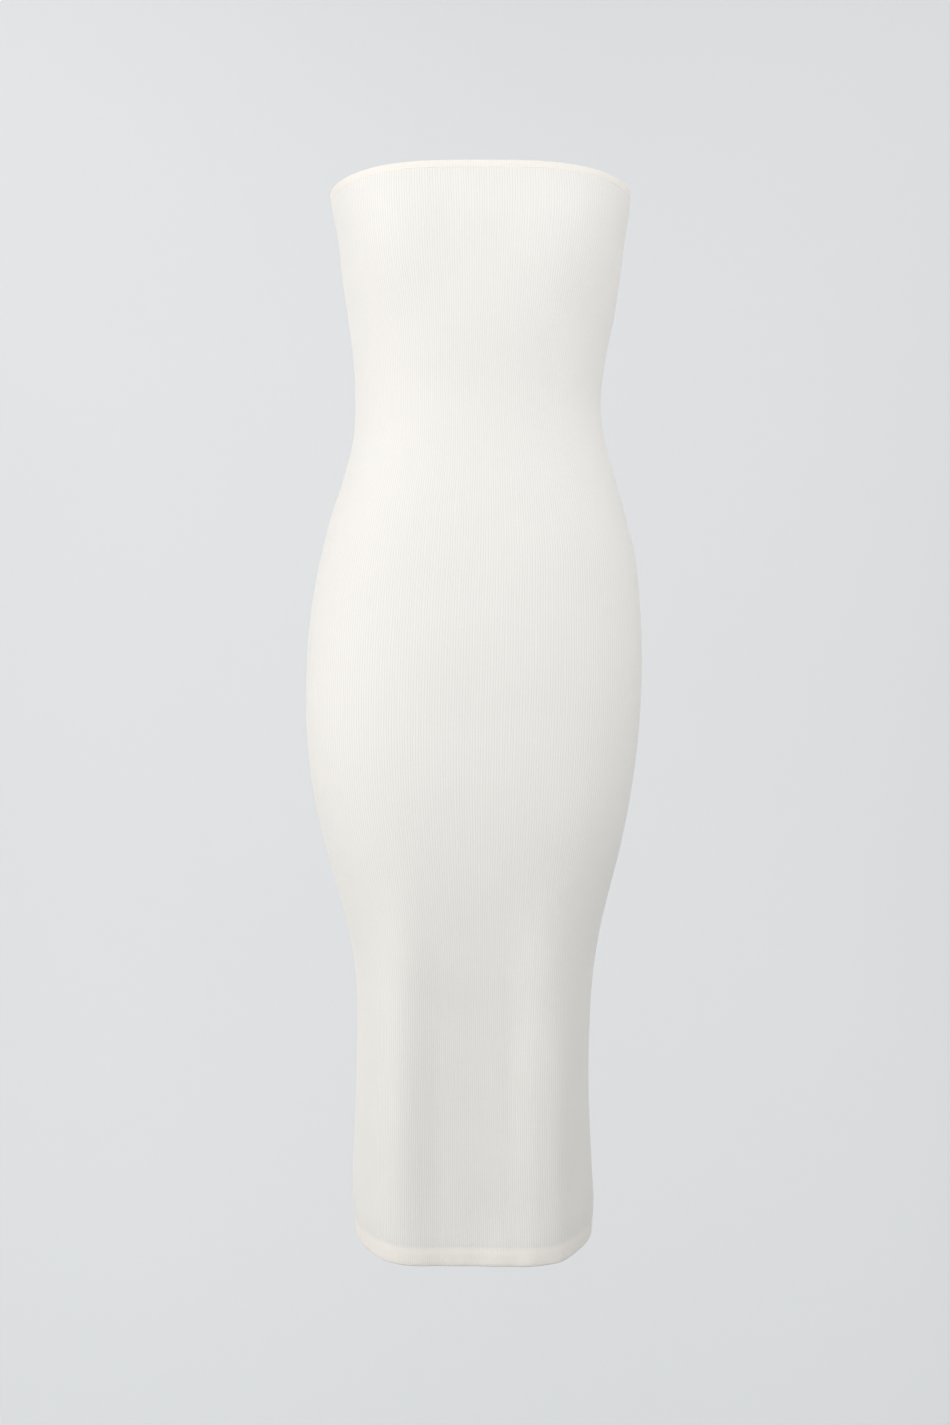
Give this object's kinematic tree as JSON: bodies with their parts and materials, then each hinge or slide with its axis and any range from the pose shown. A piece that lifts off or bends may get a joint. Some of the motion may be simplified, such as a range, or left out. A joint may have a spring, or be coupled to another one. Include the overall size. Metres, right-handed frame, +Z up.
{
  "type": "strapless midi dress",
  "caption": "Strapless close-fitting midi dress in fine rib-knit jersey with a narrow top band and turned-up hem, hollow and open at both ends, shaped as when worn.",
  "frame": {"origin": "centre of the loop of the top edge, where the band grips the chest and the dress is held up", "axes": "+Z up along the body, towards the open top; -Y is the front of the dress; +X is the viewer's right when facing the front"},
  "size_m": [0.3345, 0.2339, 1.0535],
  "materials": {
    "rib_jersey": "ivory fine rib-knit jersey, matt with a faint sheen, ribs running up and down",
    "band_jersey": "the same ivory rib jersey, doubled and sewn down as a narrow band"
  },
  "bodies": {
    "root": {"front": "rib_jersey", "back": "rib_jersey", "top_band": "band_jersey"}
  },
  "joints": []
}
